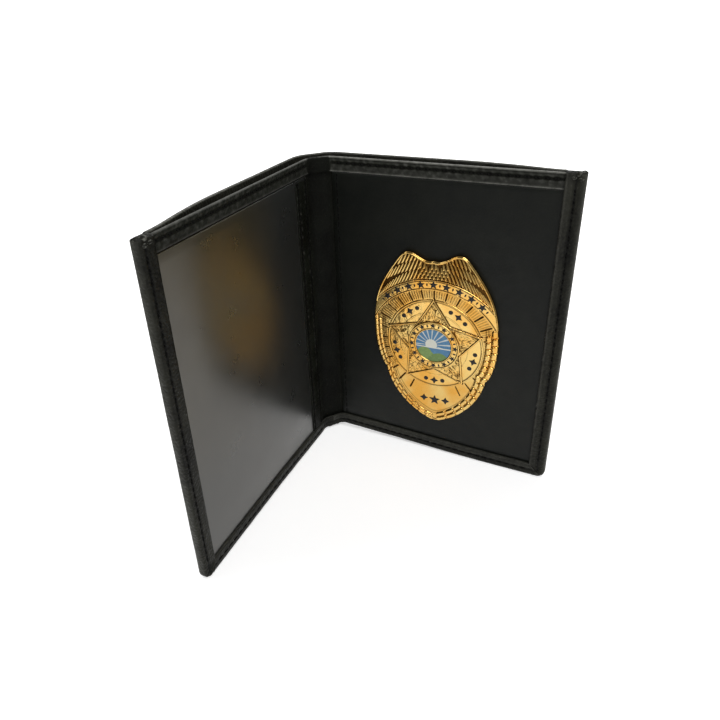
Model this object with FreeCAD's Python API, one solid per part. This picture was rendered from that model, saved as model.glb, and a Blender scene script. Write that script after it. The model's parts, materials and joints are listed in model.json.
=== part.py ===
"""Folding leather wallet for an id card and a metal badge.

The wallet is laid out flat and open, as seen from its inner side: x to the right,
y up from the foot, z towards the viewer. The two fold lines stand at half the spine's
width on either side of x = 0, in the middle of the outer leather. Each panel is then
folded about its line and the whole is stood on its foot, half open like a book.

All sizes are in millimetres. Depths are counted from the middle of the outer leather,
towards the inner face of the wallet.
"""
import FreeCAD
import Part
import math
import os

Vector = FreeCAD.Vector

# --- Driving dimensions: the wallet -----------------------------------------------
wallet_height = 120.0
panel_width = 89.0
spine_width = 10.0
rest_fold_deg = 45.0

cover_thickness = 1.2
pocket_gap = 0.9
lining_thickness = 0.7
board_thickness = 0.4
badge_leather_thickness = 0.5
card_slot_gap = 0.5
window_thickness = 0.4
hem_thickness = 0.7
top_hem_thickness = 0.6
binding_thickness = 0.6

right_fore_hem_width = 6.2
left_fore_hem_width = 5.3
bottom_hem_width = 5.6
top_hem_height = 6.0
lining_drop = 0.5
edge_wall = 0.8
taper_length = 16.0
foot_corner_radius = 4.5
top_corner_radius = 1.5
edge_rounding = 0.9

binding_width = 8.0
board_margin = 3.0

# --- Driving dimensions: seams ----------------------------------------------------
stitch_length = 2.1
stitch_pitch = 3.0
stitch_width = 0.5
stitch_height = 0.2
right_fore_stitch_inset = 2.9
left_fore_stitch_inset = 1.9
bottom_stitch_inset = 2.8
top_stitch_inset = 2.7
gutter_stitch_inset = 2.0
binding_stitch_inset = 1.3
seam_end_gap = 4.0

# --- Driving dimensions: the badge ------------------------------------------------
badge_centre_from_fold = 43.4
badge_centre_height = 51.3
badge_tilt_deg = 2.0
badge_half_width = 24.4
badge_wing_top = 36.6
badge_wing_spread = 9.0
badge_dip_top = 33.9
badge_tip_drop = 35.2
plate_thickness = 1.4
border_width = 2.6
border_height = 0.5
disc_radius = 18.8
star_points = 5
disc_height = 0.3
star_radius = 19.4
star_inner_radius = 11.0
star_height = 0.5
banner_centre_drop = 3.2
banner_radius = 28.0
banner_width = 4.0
banner_height = 0.6
wing_height = 0.7
ring_outer_radius = 10.0
ring_inner_radius = 7.0
ring_height = 0.6
enamel_height = 0.4
mark_height = 0.1
mark_star_radius = 1.15
mark_star_inner_radius = 0.52
ring_mark_radius = 0.85
ring_mark_inner_radius = 0.38
field_mark_radius = 0.6
field_mark_circle = 15.9
banner_mark_angles = range(-40, 41, 10)
field_mark_angles = (-12, 0, 12)
ring_mark_angles = range(0, 360, 30)
post_radius = 1.0
post_offset = 15.0
nut_radius = 3.5
nut_thickness = 0.6

# The badge's edge, as (share of the half width, share of the wing top or of the tip's drop).
shoulder_shares = ((0.53, 0.95), (0.69, 0.80), (0.90, 0.53), (0.985, 0.19))
waist_shares = ((0.955, 0.14), (0.87, 0.33))
lower_shares = ((0.82, 0.37), (0.71, 0.59), (0.38, 0.87), (0.10, 0.985))
dip_half_width = 4.2
dip_rise = 0.4

# --- Clearances -------------------------------------------------------------------
fold_clearance = 0.15
mitre_clearance = 0.2
tuck_clearance = 0.1
hole_clearance = 0.05
step_gap = 0.2

# --- Worked out from the sizes above ----------------------------------------------
banner_outer_radius = banner_radius + banner_width / 2
banner_inner_radius = banner_radius - banner_width / 2
half_spine = spine_width / 2
cover_back = -cover_thickness / 2
cover_front = cover_thickness / 2
lining_back = cover_front + pocket_gap
lining_front = lining_back + lining_thickness
board_front = lining_front + board_thickness
badge_seat = board_front + badge_leather_thickness
window_back = lining_front + card_slot_gap
window_front = window_back + window_thickness
tuck_edge = panel_width - edge_wall - tuck_clearance
tuck_foot = edge_wall + tuck_clearance
lining_top = wallet_height - lining_drop
below_top_hem = wallet_height - top_hem_height - step_gap
above_foot_hem = bottom_hem_width + tuck_clearance

RIGHT = 1
LEFT = -1


def fore_hem_width(side):
    """How far the outer leather is turned in over a panel's fore edge."""
    return right_fore_hem_width if side == RIGHT else left_fore_hem_width


def fore_stitch_inset(side):
    """How far a panel's fore seam lies inside its edge."""
    return right_fore_stitch_inset if side == RIGHT else left_fore_stitch_inset


# --- Shapes in the flat layout ----------------------------------------------------
def panel_point(side, u, y, depth):
    """A point on one panel, u counted from its fold line towards the fore edge."""
    return Vector(side * (half_spine + u), y, depth)


def rounded_wire(points, radii):
    """A closed polygon in space whose corners are arcs of the given radii."""
    edges = []
    count = len(points)
    starts, ends = [], []
    for i, corner in enumerate(points):
        back = (points[i - 1] - corner).normalize()
        ahead = (points[(i + 1) % count] - corner).normalize()
        if radii[i] == 0:
            starts.append(corner)
            ends.append(corner)
            continue
        half_turn = back.getAngle(ahead) / 2
        trim = radii[i] / math.tan(half_turn)
        bisector = (back + ahead).normalize()
        centre = corner + bisector * (radii[i] / math.sin(half_turn))
        start, end = corner + back * trim, corner + ahead * trim
        middle = centre - bisector * radii[i]
        edges.append(Part.Arc(start, middle, end).toShape())
        starts.append(start)
        ends.append(end)
    for i in range(count):
        after = starts[(i + 1) % count]
        if ends[i].distanceToPoint(after) > 1e-6:
            edges.append(Part.LineSegment(ends[i], after).toShape())
    return Part.Wire(Part.__sortEdges__(edges))


def section_prism(side, section, y0, y1):
    """A prism along y whose section is a list of (u, depth, corner radius)."""
    points = [panel_point(side, u, y0, depth) for u, depth, _ in section]
    wire = rounded_wire(points, [radius for _, _, radius in section])
    return Part.Face(wire).extrude(Vector(0, y1 - y0, 0))


def foot_section_prism(side, y0, y1, depth0, depth1, rounding):
    """A prism across the panel whose two foot edges are rounded."""
    reach = panel_width + 1
    points = [panel_point(side, 0, y0, depth0), panel_point(side, 0, y0, depth1),
              panel_point(side, 0, y1, depth1), panel_point(side, 0, y1, depth0)]
    wire = rounded_wire(points, [rounding, rounding, 0, 0])
    return Part.Face(wire).extrude(Vector(side * reach, 0, 0))


def sheet(side, u0, u1, y0, y1, depth0, depth1, foot_radius=0.0, top_radius=0.0):
    """A flat layer of a panel, with its two fore corners rounded."""
    points = [panel_point(side, u0, y0, depth0), panel_point(side, u1, y0, depth0),
              panel_point(side, u1, y1, depth0), panel_point(side, u0, y1, depth0)]
    wire = rounded_wire(points, [0, foot_radius, top_radius, 0])
    return Part.Face(wire).extrude(Vector(0, 0, depth1 - depth0))


def fold_line(side, radius):
    """A round bar along a fold line, over the full height."""
    foot = panel_point(side, 0, 0, 0)
    return Part.makeCylinder(radius, wallet_height, foot, Vector(0, 1, 0))


def mitre_wedge(side, towards_panel):
    """The wedge inside a fold that stays empty, so that the closed layers just meet."""
    reach = spine_width
    away = 1 if towards_panel else -1
    section = [(-away * reach, 0, 0), (away * mitre_clearance, 0, 0),
               (away * (mitre_clearance + reach), reach, 0), (-away * reach, reach, 0)]
    return section_prism(side, section, -1, wallet_height + 1)


def relieve_panel(side, shape):
    """Cut a panel's layer back at its fold line."""
    return shape.cut(mitre_wedge(side, True)).cut(fold_line(side, cover_front + fold_clearance))


def relieve_spine(shape):
    """Cut a spine layer back at both fold lines."""
    for side in (RIGHT, LEFT):
        shape = shape.cut(mitre_wedge(side, False))
    return shape


# --- Leather shells ---------------------------------------------------------------
def cover_envelope(side, wall, hem_seat):
    """The space that the outer leather wraps, drawn in by a wall at the fore edge and foot.

    The back runs in towards the fore edge by the pocket's gap, where the seam closes it.
    """
    back = cover_back if wall == 0 else cover_front
    front = hem_seat + hem_thickness if wall == 0 else hem_seat
    rounding = edge_rounding if wall == 0 else 0
    fore = panel_width - wall
    taper_end = panel_width - fore_hem_width(side)
    section = [(0, back, 0),
               (taper_end - taper_length, back, 0),
               (taper_end, back + pocket_gap, 0),
               (fore, back + pocket_gap, rounding),
               (fore, front, rounding),
               (0, front, 0)]
    top = wallet_height if wall == 0 else wallet_height + 1
    body = section_prism(side, section, wall, top)
    outline = sheet(side, 0, fore, wall, top, back - 1, front + 1,
                    foot_corner_radius - wall, top_corner_radius if wall == 0 else 0)
    body = body.common(outline)
    if wall == 0:
        body = body.common(foot_section_prism(side, 0, wallet_height, back, front, rounding))
    return body


def panel_cover(side, hem_seat):
    """One outer panel with its edges turned in over the lining at the fore edge and foot."""
    shell = cover_envelope(side, 0, hem_seat).cut(cover_envelope(side, edge_wall, hem_seat))
    opening = sheet(side, -1, panel_width - fore_hem_width(side), bottom_hem_width, wallet_height + 1,
                    hem_seat - tuck_clearance, hem_seat + hem_thickness + 1, hem_thickness)
    channel = sheet(side, 0, panel_width - seam_end_gap,
                    bottom_stitch_inset - stitch_width, bottom_stitch_inset + stitch_width,
                    cover_back - 1, cover_back + stitch_height)
    return relieve_panel(side, shell.cut(opening).cut(channel))


def spine_cover():
    """The strip of outer leather between the folds, turned in at the foot."""
    hem_front = badge_seat + hem_thickness
    strip = Part.makeBox(spine_width, wallet_height, cover_thickness,
                         Vector(-half_spine, 0, cover_back))
    foot = Part.makeBox(spine_width, edge_wall, hem_front, Vector(-half_spine, 0, 0))
    hem = Part.makeBox(spine_width, bottom_hem_width, hem_thickness,
                       Vector(-half_spine, 0, badge_seat))
    shape = relieve_spine(strip.fuse([foot, hem]))
    bars = [fold_line(side, cover_front) for side in (RIGHT, LEFT)]
    return shape.fuse(bars).removeSplitter()


def lining(side):
    """The inner leather of a panel, from the fold to under the fore hem."""
    layer = sheet(side, 0, tuck_edge, tuck_foot, lining_top, lining_back, lining_front,
                  foot_corner_radius - edge_wall)
    return relieve_panel(side, layer)


def lining_top_hem(side):
    """The lining's top edge turned down over itself."""
    layer = sheet(side, 0, tuck_edge, wallet_height - top_hem_height, lining_top,
                  lining_front, lining_front + top_hem_thickness)
    return relieve_panel(side, layer)


def gutter_layer(y0, y1, depth0, depth1):
    """A layer of the spine's inner side."""
    layer = Part.makeBox(spine_width, y1 - y0, depth1 - depth0, Vector(-half_spine, y0, depth0))
    return relieve_spine(layer)


# --- The badge side ---------------------------------------------------------------
def post_places():
    """The two posts' places on the right panel, as (u, y)."""
    tilt = math.radians(badge_tilt_deg)
    return [(badge_centre_from_fold - offset * math.sin(tilt),
             badge_centre_height + offset * math.cos(tilt))
            for offset in (post_offset, -post_offset)]


def pierced(layer, depth0, depth1):
    """A layer of the right panel with the holes that the badge's posts pass."""
    for u, y in post_places():
        foot = panel_point(RIGHT, u, y, depth0)
        hole = Part.makeCylinder(post_radius + hole_clearance, depth1 - depth0, foot)
        layer = layer.cut(hole)
    return layer


def badge_leather():
    """The smooth panel that carries the badge, tucked under the hems."""
    layer = sheet(RIGHT, 0, tuck_edge, tuck_foot, below_top_hem, board_front, badge_seat,
                  foot_corner_radius - edge_wall)
    return pierced(relieve_panel(RIGHT, layer), board_front, badge_seat)


def badge_board():
    """The stiff board behind the badge panel."""
    layer = sheet(RIGHT, badge_seat + board_margin, panel_width - right_fore_hem_width,
                  above_foot_hem, below_top_hem - board_margin, lining_front, board_front)
    return pierced(layer, lining_front, board_front)


def badge_posts():
    """The posts on the badge's back, which pass the leather and end in the nuts."""
    back = lining_back - nut_thickness
    return Part.makeCompound([
        Part.makeCylinder(post_radius, badge_seat - back, panel_point(RIGHT, u, y, back))
        for u, y in post_places()])


def post_nuts():
    """The flat nuts on the posts, inside the bill pocket."""
    back = lining_back - nut_thickness
    nuts = []
    for u, y in post_places():
        foot = panel_point(RIGHT, u, y, back)
        disc = Part.makeCylinder(nut_radius, nut_thickness, foot)
        nuts.append(disc.cut(Part.makeCylinder(post_radius + hole_clearance, nut_thickness, foot)))
    return Part.makeCompound(nuts)


# --- The window side --------------------------------------------------------------
def id_window():
    """The clear sheet over the card slot, sewn in at the fore edge, foot and binding."""
    layer = sheet(LEFT, 0, tuck_edge, tuck_foot, below_top_hem, window_back, window_front,
                  foot_corner_radius - edge_wall)
    return relieve_panel(LEFT, layer)


def binding_start():
    """Where the binding's spine side lies, clear of the fold's mitre."""
    return window_front + binding_thickness + mitre_clearance


def window_binding():
    """The leather strip that holds the window's spine side."""
    start = binding_start()
    return sheet(LEFT, start, start + binding_width, above_foot_hem, below_top_hem,
                 window_front, window_front + binding_thickness)


# --- Seams ------------------------------------------------------------------------
def stitch_centres(start, end):
    """Evenly spaced stitch centres along a seam."""
    count = max(1, int((end - start - stitch_length) / stitch_pitch) + 1)
    first = (start + end - (count - 1) * stitch_pitch) / 2
    return [first + i * stitch_pitch for i in range(count)]


def upright_seam(side, u, y0, y1, depth):
    """A seam that runs up a panel, its stitches lying on the face at a depth."""
    return [sheet(side, u - stitch_width / 2, u + stitch_width / 2,
                  y - stitch_length / 2, y + stitch_length / 2, depth, depth + stitch_height)
            for y in stitch_centres(y0, y1)]


def level_seam(side, y, u0, u1, depth):
    """A seam that runs across a panel, its stitches lying on the face at a depth."""
    return [sheet(side, u - stitch_length / 2, u + stitch_length / 2,
                  y - stitch_width / 2, y + stitch_width / 2, depth, depth + stitch_height)
            for u in stitch_centres(u0, u1)]


def fore_seam(side, hem_front):
    """The seam through the fore hem, seen on its front and on the cover's back."""
    u = panel_width - fore_stitch_inset(side)
    top = wallet_height - seam_end_gap
    fore_back = cover_back + pocket_gap - stitch_height
    stitches = []
    for depth in (hem_front, fore_back):
        stitches += upright_seam(side, u, seam_end_gap + bottom_stitch_inset, top, depth)
    return Part.makeCompound(stitches)


def foot_seam(side, hem_front):
    """The seam through the foot hem, seen on its front and in a channel on the back."""
    fore = panel_width - seam_end_gap - fore_stitch_inset(side)
    taper_start = panel_width - fore_hem_width(side) - taper_length
    start = hem_front + mitre_clearance
    front = level_seam(side, bottom_stitch_inset, start, fore, hem_front)
    back = level_seam(side, bottom_stitch_inset, start, taper_start, cover_back)
    return Part.makeCompound(front + back)


def top_seam(side):
    """The seam through the lining's top hem."""
    front = lining_front + top_hem_thickness
    start = front + mitre_clearance
    return Part.makeCompound(level_seam(side, wallet_height - top_stitch_inset, start,
                                        panel_width - fore_hem_width(side), front))


def badge_leather_seam():
    """The seam beside the gutter that holds the badge panel's spine side."""
    u = badge_seat + mitre_clearance + gutter_stitch_inset
    return Part.makeCompound(upright_seam(RIGHT, u, above_foot_hem, below_top_hem, badge_seat))


def binding_seams():
    """The two seams along the window's binding."""
    front = window_front + binding_thickness
    start = binding_start()
    stitches = []
    for u in (start + binding_stitch_inset, start + binding_width - binding_stitch_inset):
        stitches += upright_seam(LEFT, u, above_foot_hem, below_top_hem, front)
    return Part.makeCompound(stitches)


# --- Badge, drawn about its seal: x right, y up, z out of the panel ----------------
def edge_points(shape, half_width, height):
    """Points on the badge's right edge, from shares of its half width and of a height."""
    return [Vector(x * half_width, y * height, 0) for x, y in shape]


def spline(points):
    """A smooth edge through the points."""
    curve = Part.BSplineCurve()
    curve.interpolate(points)
    return curve.toShape()


def mirrored(points):
    """The same points on the badge's left side, in the other order."""
    return [Vector(-p.x, p.y, p.z) for p in reversed(points)]


def badge_outline(inset):
    """The badge's edge, drawn in: two wing tops, full sides, a small step, a blunt tip."""
    half_width = badge_half_width - inset
    drop = badge_tip_drop - inset
    wing_top = badge_wing_top - inset
    dip_top = badge_dip_top - inset
    side = edge_points(shoulder_shares, half_width, wing_top)
    side += edge_points(waist_shares, half_width, -drop)
    lower = edge_points(lower_shares, half_width, -drop)
    wing = [Vector(0, dip_top, 0), Vector(dip_half_width, dip_top + dip_rise, 0),
            Vector(badge_wing_spread, wing_top, 0), side[0]]
    tip = [lower[-1], Vector(0, -drop, 0), mirrored(lower)[0]]
    step = [side[-1], lower[0]]
    curves = [wing, side, lower, mirrored(wing), mirrored(side), mirrored(lower), tip]
    edges = [spline(points) for points in curves]
    edges += [Part.LineSegment(*points).toShape() for points in (step, mirrored(step))]
    return Part.Wire(Part.__sortEdges__(edges))


def badge_prism(z0, z1, inset=0.0):
    """The badge's outline, drawn in by an inset, between two heights."""
    prism = Part.Face(badge_outline(inset)).extrude(Vector(0, 0, z1 - z0))
    prism.translate(Vector(0, 0, z0))
    return prism


def disc(radius, z0, z1, centre=Vector(0, 0, 0)):
    """A round disc between two heights."""
    return Part.makeCylinder(radius, z1 - z0, centre + Vector(0, 0, z0))


def star(radius, inner_radius, z0, z1, centre=Vector(0, 0, 0), turn_deg=0.0):
    """A five-pointed star between two heights, one point up before its turn."""
    points = []
    for i in range(2 * star_points):
        r = radius if i % 2 == 0 else inner_radius
        angle = math.radians(90 + turn_deg + 180 * i / star_points)
        points.append(centre + Vector(r * math.cos(angle), r * math.sin(angle), z0))
    face = Part.Face(Part.makePolygon(points + points[:1]))
    return face.extrude(Vector(0, 0, z1 - z0))


def banner_ring(inner, outer, z0, z1):
    """A ring about the banner's centre."""
    centre = Vector(0, -banner_centre_drop, 0)
    return disc(outer, z0, z1, centre).cut(disc(inner, z0, z1, centre))


def badge_plate():
    """The struck plate that carries everything on the badge."""
    return badge_prism(0, plate_thickness)


def badge_banner():
    """The curved band across the badge, under the wings."""
    z0, z1 = plate_thickness, plate_thickness + banner_height
    above = Part.makeBox(4 * badge_half_width, badge_wing_top, z1 - z0,
                         Vector(-2 * badge_half_width, banner_foot(), z0))
    band = banner_ring(banner_inner_radius, banner_outer_radius, z0, z1)
    return band.common(badge_prism(z0, z1)).common(above)


def banner_foot():
    """The height at which the banner's ends stop."""
    inner_reach = badge_half_width - border_width
    return math.sqrt(banner_inner_radius ** 2 - inner_reach ** 2) - banner_centre_drop


def badge_wings():
    """The spread wings that make the badge's top edge."""
    z0, z1 = plate_thickness, plate_thickness + wing_height
    centre = Vector(0, -banner_centre_drop, 0)
    below = Part.makeBox(4 * badge_half_width, 4 * badge_tip_drop, z1 - z0,
                         Vector(-2 * badge_half_width, banner_foot() - 4 * badge_tip_drop, z0))
    return badge_prism(z0, z1).cut(disc(banner_outer_radius, z0, z1, centre)).cut(below)


def badge_border():
    """The raised roped border along the badge's lower sides."""
    z0, z1 = plate_thickness, plate_thickness + border_height
    band = badge_prism(z0, z1).cut(badge_prism(z0, z1, border_width))
    above = Part.makeBox(4 * badge_half_width, 4 * badge_wing_top, z1 - z0,
                         Vector(-2 * badge_half_width, banner_foot(), z0))
    return band.cut(above)


def badge_disc():
    """The smooth round field behind the star."""
    return disc(disc_radius, plate_thickness, plate_thickness + disc_height)


def badge_star():
    """The five-pointed star."""
    seat = plate_thickness + disc_height
    body = star(star_radius, star_inner_radius, seat, seat + star_height)
    return body.common(disc(disc_radius, seat, seat + star_height))


def seal_seat():
    """The height that the seal lies at."""
    return plate_thickness + disc_height + star_height


def seal_ring():
    """The round frame of the seal."""
    z0, z1 = seal_seat(), seal_seat() + ring_height
    return disc(ring_outer_radius, z0, z1).cut(disc(ring_inner_radius, z0, z1))


def seal_enamel():
    """The coloured enamel disc inside the ring."""
    return disc(ring_inner_radius - tuck_clearance, seal_seat(), seal_seat() + enamel_height)


def on_arc(radius, angle_deg, drop=0.0):
    """A point on a circle about the badge's centre, or about a centre below it."""
    angle = math.radians(angle_deg)
    return Vector(radius * math.sin(angle), radius * math.cos(angle) - drop, 0)


def banner_marks():
    """Black enamel stars along the banner."""
    z0 = plate_thickness + banner_height
    return Part.makeCompound([
        star(mark_star_radius, mark_star_inner_radius, z0, z0 + mark_height,
             on_arc(banner_radius, angle, banner_centre_drop), -angle)
        for angle in banner_mark_angles])


def field_marks():
    """Black enamel dots in the fields between the star's points."""
    z0 = plate_thickness + disc_height
    dots = []
    for field in range(star_points):
        middle = (field + 0.5) * 360 / star_points
        for angle in field_mark_angles:
            centre = on_arc(field_mark_circle, middle + angle)
            dots.append(disc(field_mark_radius, z0, z0 + mark_height, centre))
    return Part.makeCompound(dots)


def ring_marks():
    """Small black enamel stars round the seal's ring."""
    z0 = seal_seat() + ring_height
    middle = (ring_outer_radius + ring_inner_radius) / 2
    return Part.makeCompound([
        star(ring_mark_radius, ring_mark_inner_radius, z0, z0 + mark_height,
             on_arc(middle, angle), -angle)
        for angle in ring_mark_angles])


def on_panel(shape):
    """Seat a badge piece on the badge panel, in the flat layout."""
    placed = shape.copy()
    placed.rotate(Vector(0, 0, 0), Vector(0, 0, 1), badge_tilt_deg)
    placed.translate(panel_point(RIGHT, badge_centre_from_fold, badge_centre_height, badge_seat))
    return placed


# --- Folding, standing up and writing ---------------------------------------------
def stand_up(shape, side=0):
    """Fold a panel's piece by the rest angle and stand it on its foot."""
    placed = shape.copy()
    if side:
        placed.rotate(panel_point(side, 0, 0, 0), Vector(0, 1, 0), -side * rest_fold_deg)
    placed.rotate(Vector(0, 0, 0), Vector(1, 0, 0), 90)
    placed.rotate(Vector(0, 0, 0), Vector(0, 0, 1), rest_fold_deg)
    return placed


def right_panel():
    """Every piece that moves with the badge's panel."""
    hem_front = badge_seat + hem_thickness
    layers = {
        "right_cover": panel_cover(RIGHT, badge_seat),
        "right_lining": pierced(lining(RIGHT), lining_back, lining_front),
        "right_lining_top_hem": lining_top_hem(RIGHT),
        "badge_board": badge_board(),
        "badge_leather": badge_leather(),
        "badge_posts": badge_posts(),
        "post_nuts": post_nuts(),
        "right_fore_stitches": fore_seam(RIGHT, hem_front),
        "right_foot_stitches": foot_seam(RIGHT, hem_front),
        "right_top_stitches": top_seam(RIGHT),
        "badge_leather_stitches": badge_leather_seam(),
    }
    badge = {
        "badge_plate": badge_plate(),
        "badge_wings": badge_wings(),
        "badge_banner": badge_banner(),
        "badge_border": badge_border(),
        "badge_disc": badge_disc(),
        "badge_star": badge_star(),
        "seal_ring": seal_ring(),
        "seal_enamel": seal_enamel(),
        "banner_marks": banner_marks(),
        "field_marks": field_marks(),
        "ring_marks": ring_marks(),
    }
    layers.update({name: on_panel(shape) for name, shape in badge.items()})
    return layers


def left_panel():
    """Every piece that moves with the window's panel."""
    hem_front = window_front + hem_thickness
    return {
        "left_cover": panel_cover(LEFT, window_front),
        "left_lining": lining(LEFT),
        "left_lining_top_hem": lining_top_hem(LEFT),
        "id_window": id_window(),
        "window_binding": window_binding(),
        "left_fore_stitches": fore_seam(LEFT, hem_front),
        "left_foot_stitches": foot_seam(LEFT, hem_front),
        "left_top_stitches": top_seam(LEFT),
        "binding_stitches": binding_seams(),
    }


def spine():
    """Every piece between the two folds."""
    return {
        "spine_cover": spine_cover(),
        "gutter_lining": gutter_layer(tuck_foot, lining_top, lining_back, lining_front),
        "gutter_top_hem": gutter_layer(wallet_height - top_hem_height, lining_top,
                                       lining_front, lining_front + top_hem_thickness),
    }


def main():
    os.makedirs("parts", exist_ok=True)
    for side, pieces in ((RIGHT, right_panel()), (LEFT, left_panel()), (0, spine())):
        for name, shape in pieces.items():
            solid = stand_up(shape, side)
            solid.exportStep(os.path.join("parts", name + ".step"))
            print(f"{name:24s} solids {len(solid.Solids):3d} volume {solid.Volume:9.2f} "
                  f"valid {solid.isValid()}")


main()
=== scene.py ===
"""Looks of a folding leather wallet with an id window and a metal badge.

Sizes are in millimetres. A point of the leather is given in the flat layout: s runs along
the leather from the middle of the spine (plus towards the badge, minus towards the
window), d is the depth from the middle of the outer leather towards the inner side, and
z is the height above the foot. A point of the badge is given about its seal: x right,
y up, h out of the badge panel. Each point also has a value for painted light, wear and
cavity: above 0 leather is greyer, partly rubbed wear and partly a painted highlight on
rims, folds and beside stitches; below 0 it is darker, mostly painted shade in seam
grooves, creases, the gutter and along some edges; on the badge it is how deep in a
recess the point lies.
"""

import json
from math import atan2, cos, degrees, dist, exp, hypot, pi, radians, sin, sqrt

import bpy
import bmesh
import numpy as np
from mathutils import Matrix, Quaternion, Vector, noise

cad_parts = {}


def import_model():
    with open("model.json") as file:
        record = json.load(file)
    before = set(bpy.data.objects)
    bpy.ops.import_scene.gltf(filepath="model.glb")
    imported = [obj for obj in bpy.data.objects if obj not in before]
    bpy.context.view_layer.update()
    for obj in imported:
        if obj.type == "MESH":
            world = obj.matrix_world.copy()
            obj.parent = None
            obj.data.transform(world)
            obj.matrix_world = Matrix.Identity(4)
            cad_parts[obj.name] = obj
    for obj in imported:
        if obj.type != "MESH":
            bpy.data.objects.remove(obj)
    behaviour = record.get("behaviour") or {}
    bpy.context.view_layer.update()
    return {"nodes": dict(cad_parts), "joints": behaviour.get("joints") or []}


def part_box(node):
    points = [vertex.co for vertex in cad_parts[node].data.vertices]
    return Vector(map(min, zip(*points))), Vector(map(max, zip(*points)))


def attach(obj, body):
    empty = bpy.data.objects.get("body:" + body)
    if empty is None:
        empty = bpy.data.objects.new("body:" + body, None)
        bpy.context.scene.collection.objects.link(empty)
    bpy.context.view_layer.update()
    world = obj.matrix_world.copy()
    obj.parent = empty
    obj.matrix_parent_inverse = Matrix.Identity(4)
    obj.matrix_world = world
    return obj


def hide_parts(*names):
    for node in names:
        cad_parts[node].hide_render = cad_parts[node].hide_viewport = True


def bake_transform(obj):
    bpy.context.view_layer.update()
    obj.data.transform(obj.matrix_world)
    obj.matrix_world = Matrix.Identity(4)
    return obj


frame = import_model()

MM = 0.001
RIGHT, LEFT = 1, -1
SIDE_NAME = {RIGHT: "right", LEFT: "left"}


# --- Sizes taken from the frame
def low(node):
    """Lowest corner of a CAD node, in millimetres."""
    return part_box(node)[0] / MM


def high(node):
    """Highest corner of a CAD node, in millimetres."""
    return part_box(node)[1] / MM


def back_of(node):
    """Depth of the back of a node on the badge's panel."""
    return fold - high(node).y


def front_of(node):
    """Depth of the front of a node on the badge's panel."""
    return fold - low(node).y


fold = frame["joints"][0]["pos_m"][0] / MM
half_spine = fold * sqrt(2)
fold_deg = frame["joints"][0]["range_deg"][1]

height = high("right_cover").z
panel_width = high("right_cover").x - fold
reach = half_spine + panel_width
cover_back, hem_front = back_of("right_cover"), front_of("right_cover")
cover_thickness = -2 * cover_back
lining_back, lining_front = back_of("right_lining"), front_of("right_lining")
lining_top = high("right_lining").z
pocket_gap = lining_back + cover_back
top_hem_front = front_of("right_lining_top_hem")
top_hem_foot = low("right_lining_top_hem").z
badge_leather_back, badge_seat = back_of("badge_leather"), front_of("badge_leather")
tuck_foot = low("badge_leather").z
window_back, window_front = low("id_window").x + fold, high("id_window").x + fold
window_top = high("id_window").z
binding_front = high("window_binding").x + fold
binding_start = -fold - high("window_binding").y
binding_end = -fold - low("window_binding").y

# --- Driving values of the looks
foot_hem = low("window_binding").z - 0.1
fore_hem = {RIGHT: panel_width - (high("badge_board").x - fold), LEFT: 5.3}
inner = {side: reach - fore_hem[side] for side in (RIGHT, LEFT)}
seat = {RIGHT: badge_seat, LEFT: window_front}
taper_length = 16            # run over which the cover's back draws in to the fore hem
foot_corner_radius = 3.2
edge_rounding = 0.9
bend_reach = 3.8             # how far from a fold line the leather bends
bow_depth = 2.3              # how far the outer leather stands off at the top
bow_fade_height = 85         # height over which that bow fades out
sample = 0.75                # spacing of the mesh along a seam
stitch_pitch = 3
stitch_length = 2.1
thread_radius = 0.24
seam_inset = {RIGHT: 2.9, LEFT: 1.9}
top_seam_inset = 2.7
foot_seam_inset = 2.8
badge_leather_start = 2.4    # the badge panel's spine edge, from the fold line
gutter_seam = 4.4            # the seam beside it, from the fold line
binding_seam_inset = 1.3
under_hem = 0.9              # how far inside the cover's edge the inner layers end
foot_lift_height = 45        # height over which the foot's lift fades out
FOOT_LIFT = ((-94, 0), (-80, 0.3), (-45, 0.9), (-12, 0.3), (0, 0.7), (9, 1.9), (34, 1.2),
             (60, 0.2), (75, 0), (95, 0))
# Inset, share of the cover's depth, distance below the top, and radius of each.
CORNER_LUMPS = ((1, 0.5, 0.55, 1.1), (2.6, 0.75, 0.6, 1.25), (4.3, 0.6, 0.8, 1.15),
                (1.6, 0.95, 2.1, 0.8), (3.6, 0.98, 1.7, 0.75))


# --- Shapes of curves, and where a point of the flat layout lies
def smooth(t):
    """A smooth step from 0 to 1."""
    t = min(1, max(0, t))
    return t * t * (3 - 2 * t)


def bell(t):
    """A smooth bump, 1 at t = 0 and gone at t = 2."""
    return exp(-t * t)


def uneven(s, z, size, seed=0):
    """Slow unevenness between -1 and 1, over a length of about size."""
    return noise.noise(Vector((s / size + seed, z / size, seed * 1.7)))


def pucker(along):
    """Leather drawn down at each stitch and standing up between two."""
    return cos(2 * pi * along / stitch_pitch)


def spread(start, end, step):
    """Evenly spaced values from start to end, about a step apart."""
    count = max(1, round(abs(end - start) / step))
    return [start + (end - start) * i / count for i in range(count + 1)]


def turn_steps(count):
    """Evenly spaced angles of one full turn."""
    return [2 * pi * k / count for k in range(count)]


def bend_line():
    """The middle of the outer leather as (run, x, y, angle), from the spine's middle on."""
    runs = np.linspace(0, 2 * half_spine, 401)
    turn = np.clip((runs - half_spine) / (2 * bend_reach) + 0.5, 0, 1)
    angle = radians(fold_deg) * (1 - turn * turn * (3 - 2 * turn))
    middles = (angle[1:] + angle[:-1]) / 2
    x, y = (np.concatenate([[0], np.cumsum(part(middles))]) for part in (np.cos, np.sin))
    scale = hypot(fold + half_spine, fold) / hypot(x[-1], y[-1])
    return runs, x * scale, y * scale, angle


BEND = bend_line()


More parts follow.
